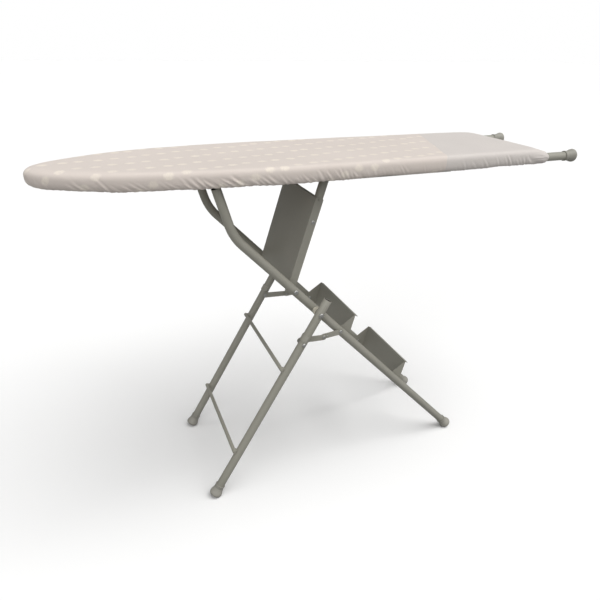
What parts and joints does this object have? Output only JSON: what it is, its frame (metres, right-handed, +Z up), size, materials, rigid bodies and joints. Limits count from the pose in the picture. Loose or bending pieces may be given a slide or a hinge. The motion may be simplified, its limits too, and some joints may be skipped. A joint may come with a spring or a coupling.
{
  "type": "ironing board",
  "caption": "Padded ironing board with a pointed nose, carried by a folding step-ladder frame with sheet-metal treads, a strut platform, spread legs and knee braces.",
  "frame": {"origin": "middle of the overall footprint, on the floor", "axes": "+X along the board towards its tail, +Y across it, +Z up"},
  "size_m": [1.369, 0.357, 0.8845],
  "materials": {
    "painted_steel": "warm grey-beige powder coat, satin",
    "foot_plastic": "warm grey moulded plastic, matt",
    "bright_steel": "zinc-plated rivets and bolts",
    "nylon": "off-white nylon",
    "cover_fabric": "woven cotton, pale beige ground with small ivory flecks, plain light grey heat-proof end",
    "pad_foam": "felt and foam pad, off-white",
    "panel_board": "thin wood-fibre panel",
    "elastic": "elastic cord in the hem"
  },
  "bodies": {
    "ladder_frame": {"tread_upper": "painted_steel", "tread_lower": "painted_steel", "ladder_tube_near": "painted_steel", "ladder_foot_near": "foot_plastic", "tread_upper_rivet_near": "bright_steel", "tread_lower_rivet_near": "bright_steel", "leg_pivot_bolt_near": "bright_steel", "leg_pivot_spacer_near": "nylon", "platform_pivot_bolt_near": "bright_steel", "platform_pivot_washer_near": "nylon", "brace_upper_pin_near": "bright_steel", "ladder_tube_far": "painted_steel", "ladder_foot_far": "foot_plastic", "tread_upper_rivet_far": "bright_steel", "tread_lower_rivet_far": "bright_steel", "leg_pivot_bolt_far": "bright_steel", "leg_pivot_spacer_far": "nylon", "platform_pivot_bolt_far": "bright_steel", "platform_pivot_washer_far": "nylon", "brace_upper_pin_far": "bright_steel"},
    "board": {"board_panel": "panel_board", "foam_pad": "pad_foam", "cover": "cover_fabric", "hem_elastic": "elastic", "board_frame_tube": "painted_steel", "cross_rail_nose": "painted_steel", "cross_rail_middle": "painted_steel", "cross_rail_tail": "painted_steel", "tail_foot_near": "foot_plastic", "hinge_bracket_near": "painted_steel", "hinge_pin_near": "bright_steel", "slide_track_near": "painted_steel", "tail_foot_far": "foot_plastic", "hinge_bracket_far": "painted_steel", "hinge_pin_far": "bright_steel", "slide_track_far": "painted_steel"},
    "platform_strut": {"platform": "painted_steel", "strut_top_rod": "painted_steel", "strut_tube_near": "painted_steel", "platform_rivet_near": "bright_steel", "strut_tube_far": "painted_steel", "platform_rivet_far": "bright_steel"},
    "leg_frame": {"leg_crossbar_upper": "painted_steel", "leg_crossbar_lower": "painted_steel", "leg_tube_near": "painted_steel", "leg_foot_near": "foot_plastic", "brace_lower_pin_near": "bright_steel", "brace_clip_near": "painted_steel", "leg_tube_far": "painted_steel", "leg_foot_far": "foot_plastic", "brace_lower_pin_far": "bright_steel", "brace_clip_far": "painted_steel"},
    "upper_brace_link_near": {"brace_upper_near": "painted_steel", "brace_knee_rivet_near": "bright_steel"},
    "lower_brace_link_near": {"brace_lower_near": "painted_steel"},
    "upper_brace_link_far": {"brace_upper_far": "painted_steel", "brace_knee_rivet_far": "bright_steel"},
    "lower_brace_link_far": {"brace_lower_far": "painted_steel"}
  },
  "joints": [
    {"name": "board_fold", "type": "hinge", "parent": "ladder_frame", "child": "board", "pos_m": [-0.3027, 0, 0.832], "axis": [0, 1, 0], "range_deg": [0, 42]},
    {"name": "platform_fold", "type": "hinge", "parent": "ladder_frame", "child": "platform_strut", "pos_m": [-0.11945, 0, 0.56706], "axis": [0, 1, 0], "range_deg": [0, 98]},
    {"name": "leg_fold", "type": "hinge", "parent": "ladder_frame", "child": "leg_frame", "pos_m": [-0.06436, 0, 0.50961], "axis": [0, -1, 0], "range_deg": [0, 72]},
    {"name": "upper_brace_fold_near", "type": "hinge", "parent": "ladder_frame", "child": "upper_brace_link_near", "pos_m": [0.00832, 0, 0.43383], "axis": [0, -1, 0], "range_deg": [0, 126]},
    {"name": "lower_brace_fold_near", "type": "hinge", "parent": "leg_frame", "child": "lower_brace_link_near", "pos_m": [-0.10933, 0, 0.43281], "axis": [0, 1, 0], "range_deg": [0, 115]},
    {"name": "upper_brace_fold_far", "type": "hinge", "parent": "ladder_frame", "child": "upper_brace_link_far", "pos_m": [0.00832, 0, 0.43383], "axis": [0, -1, 0], "range_deg": [0, 126]},
    {"name": "lower_brace_fold_far", "type": "hinge", "parent": "leg_frame", "child": "lower_brace_link_far", "pos_m": [-0.10933, 0, 0.43281], "axis": [0, 1, 0], "range_deg": [0, 115]}
  ],
  "couplings": [
    {"joint": "platform_fold", "follows": "board_fold", "ratio": 2.33},
    {"joint": "upper_brace_fold_near", "follows": "leg_fold", "ratio": 1.74},
    {"joint": "lower_brace_fold_near", "follows": "leg_fold", "ratio": 1.586},
    {"joint": "upper_brace_fold_far", "follows": "leg_fold", "ratio": 1.74},
    {"joint": "lower_brace_fold_far", "follows": "leg_fold", "ratio": 1.586}
  ]
}
